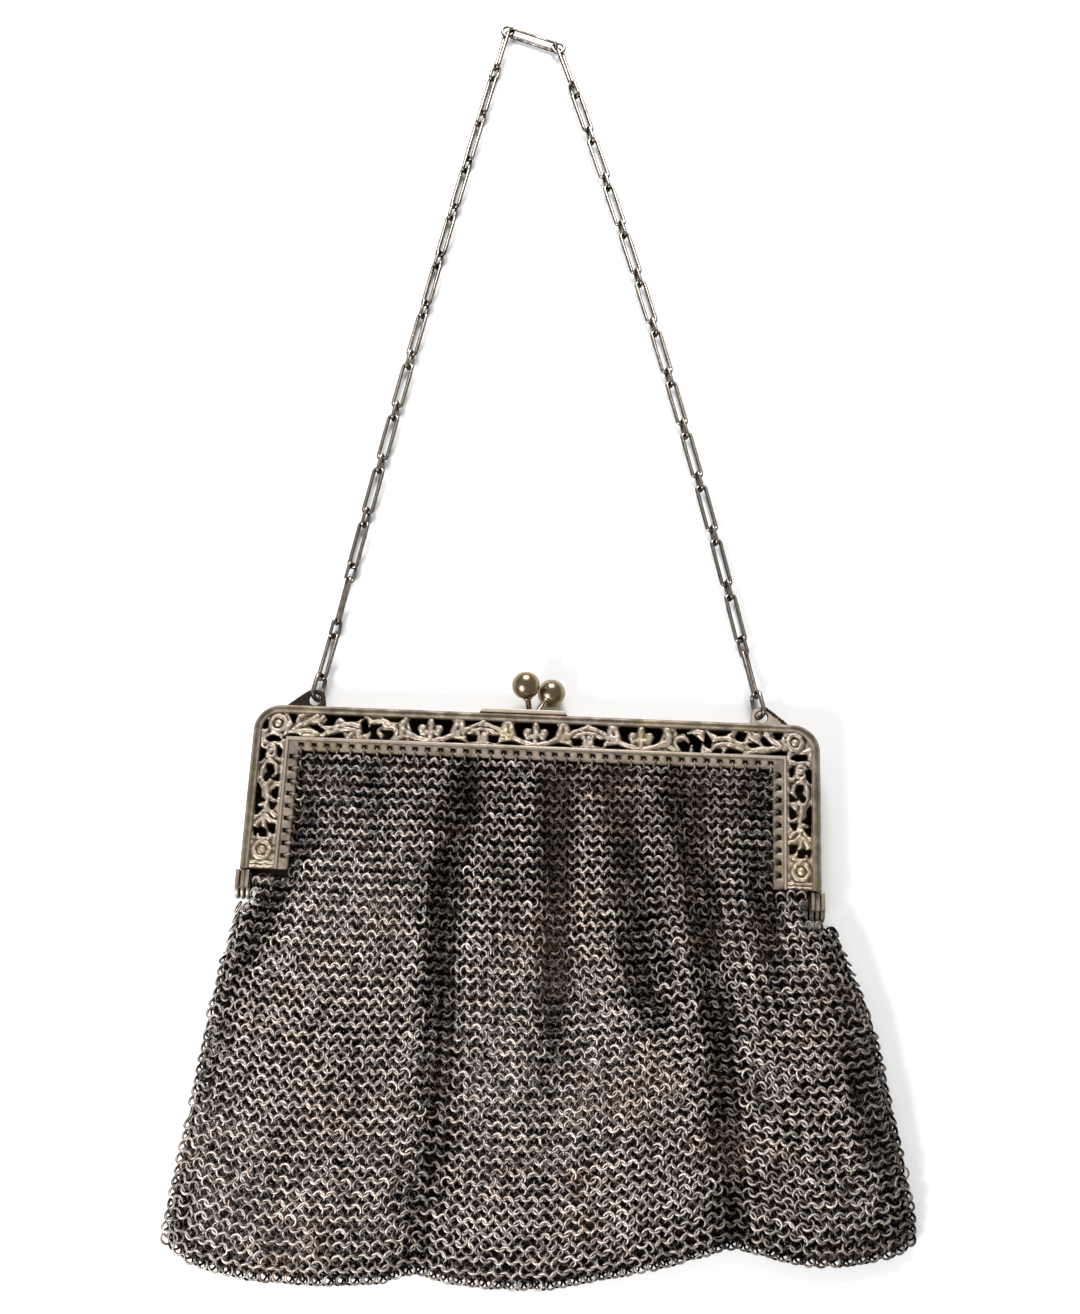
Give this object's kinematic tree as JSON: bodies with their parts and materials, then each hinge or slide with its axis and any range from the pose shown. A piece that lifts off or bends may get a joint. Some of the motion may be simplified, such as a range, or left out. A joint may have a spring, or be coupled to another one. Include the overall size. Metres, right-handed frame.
{
  "type": "metal ring mesh purse",
  "caption": "Flat purse of metal ring mesh on a pierced U-shaped frame, with a kiss-lock ball clasp and a long-link wrist chain, lying on its back.",
  "frame": {"origin": "middle of the top bar, on the frame's flat back face, which lies on the surface", "axes": "+X to the right across the purse seen from its pierced front, +Y from the pouch towards the chain, +Z out of the pierced front"},
  "size_m": [0.1872, 0.3793, 0.0122],
  "materials": {
    "frame_silver": "warm tarnished silver plate, worn bright on the relief, dark in the hollows",
    "clasp_silver": "polished silver plate with a warm tarnish",
    "chain_silver": "dark tarnished silver wire with bright edges",
    "ring_mesh": "gunmetal grey interlinked wire rings with bright glints"
  },
  "bodies": {
    "root": {"frame_front": "frame_silver", "frame_back": "frame_silver", "hinge_left": "frame_silver", "hinge_right": "frame_silver", "clasp_front": "clasp_silver", "clasp_back": "clasp_silver", "chain": "chain_silver", "pouch": "ring_mesh"}
  },
  "joints": []
}
